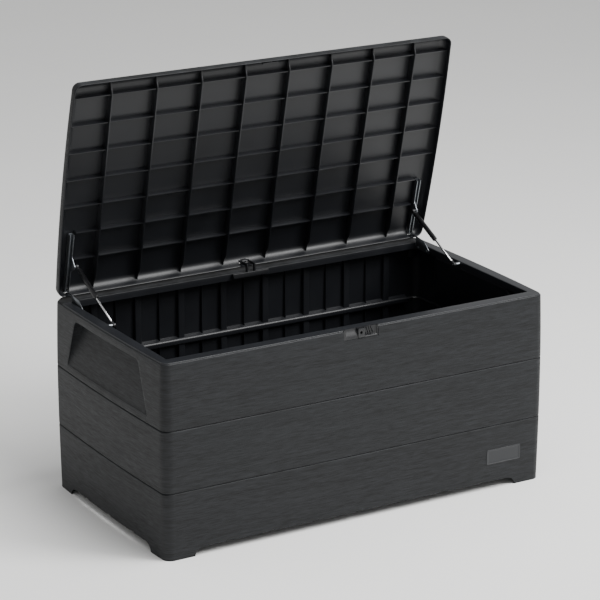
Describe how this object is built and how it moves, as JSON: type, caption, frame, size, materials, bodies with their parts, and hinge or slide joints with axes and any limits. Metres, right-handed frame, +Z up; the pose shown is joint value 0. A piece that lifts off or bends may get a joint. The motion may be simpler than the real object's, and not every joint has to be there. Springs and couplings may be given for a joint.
{
  "type": "deck storage box",
  "caption": "Outdoor resin storage box with planked walls, scooped end handles and a ribbed lid that swings up on rear hinges, held by gas struts.",
  "frame": {"origin": "on the ground, at the middle of the base", "axes": "+X along the length towards the right end, +Y towards the hinged rear, +Z up; stored with the lid open"},
  "size_m": [1.3, 0.7002, 1.2709],
  "materials": {
    "grained_resin": "anthracite resin with a fine horizontal wood grain",
    "glossy_resin": "smooth moulded resin, semi-gloss",
    "dark_resin": "plain moulded resin, satin",
    "zinc_steel": "zinc-plated sheet and turned steel",
    "chromed_rod": "hard chrome, polished",
    "black_painted_tube": "black paint, semi-gloss"
  },
  "bodies": {
    "box": {"back_panel": "grained_resin", "badge_plate": "grained_resin", "floor_panel": "dark_resin", "front_left_corner_clip": "dark_resin", "front_panel": "grained_resin", "front_right_corner_clip": "dark_resin", "latch_housing": "dark_resin", "left_body_bracket": "zinc_steel", "left_bracket_screw_1": "zinc_steel", "left_bracket_screw_2": "zinc_steel", "left_hinge_pin": "zinc_steel", "left_panel": "grained_resin", "left_wall_stud": "zinc_steel", "middle_hinge_bar": "dark_resin", "middle_hinge_ear_left": "dark_resin", "middle_hinge_ear_right": "dark_resin", "middle_hinge_pin": "zinc_steel", "padlock_tab": "dark_resin", "rear_left_corner_clip": "dark_resin", "rear_right_corner_clip": "dark_resin", "right_body_bracket": "zinc_steel", "right_bracket_screw_1": "zinc_steel", "right_bracket_screw_2": "zinc_steel", "right_hinge_pin": "zinc_steel", "right_panel": "grained_resin", "right_wall_stud": "zinc_steel"},
    "lid": {"left_lid_bracket": "zinc_steel", "left_lid_screw_1": "zinc_steel", "left_lid_screw_2": "zinc_steel", "left_lid_stud": "zinc_steel", "lid_catch": "dark_resin", "lid_panel": "glossy_resin", "right_lid_bracket": "zinc_steel", "right_lid_screw_1": "zinc_steel", "right_lid_screw_2": "zinc_steel", "right_lid_stud": "zinc_steel"},
    "left_rod": {"left_rod_socket": "dark_resin", "left_strut_rod": "chromed_rod"},
    "left_tube": {"left_strut_tube": "black_painted_tube", "left_tube_socket": "dark_resin"},
    "right_rod": {"right_rod_socket": "dark_resin", "right_strut_rod": "chromed_rod"},
    "right_tube": {"right_strut_tube": "black_painted_tube", "right_tube_socket": "dark_resin"}
  },
  "joints": [
    {"name": "lid_hinge", "type": "hinge", "parent": "box", "child": "lid", "pos_m": [0, 0.336, 0.608], "axis": [-1, 0, 0], "range_deg": [-77, 0], "stiffness_Nm_per_rad": 3, "springref_deg": 91.67},
    {"name": "left_rod_swing", "type": "hinge", "parent": "box", "child": "left_rod", "pos_m": [-0.587, 0.058, 0.579], "axis": [1, 0, 0], "range_deg": [-23.68, 0]},
    {"name": "left_tube_slide", "type": "slide", "parent": "left_rod", "child": "left_tube", "axis": [0, 0.9008, 0.4342], "range_m": [-0.0762, 0]},
    {"name": "right_rod_swing", "type": "hinge", "parent": "box", "child": "right_rod", "pos_m": [0.587, 0.058, 0.579], "axis": [1, 0, 0], "range_deg": [-23.68, 0]},
    {"name": "right_tube_slide", "type": "slide", "parent": "right_rod", "child": "right_tube", "axis": [0, 0.9008, 0.4342], "range_m": [-0.0762, 0]}
  ],
  "couplings": [
    {"joint": "left_rod_swing", "follows": "lid_hinge", "ratio": 0.30623},
    {"joint": "left_tube_slide", "follows": "lid_hinge", "m_per_rad": 0.056334},
    {"joint": "right_rod_swing", "follows": "lid_hinge", "ratio": 0.30623},
    {"joint": "right_tube_slide", "follows": "lid_hinge", "m_per_rad": 0.056334}
  ]
}
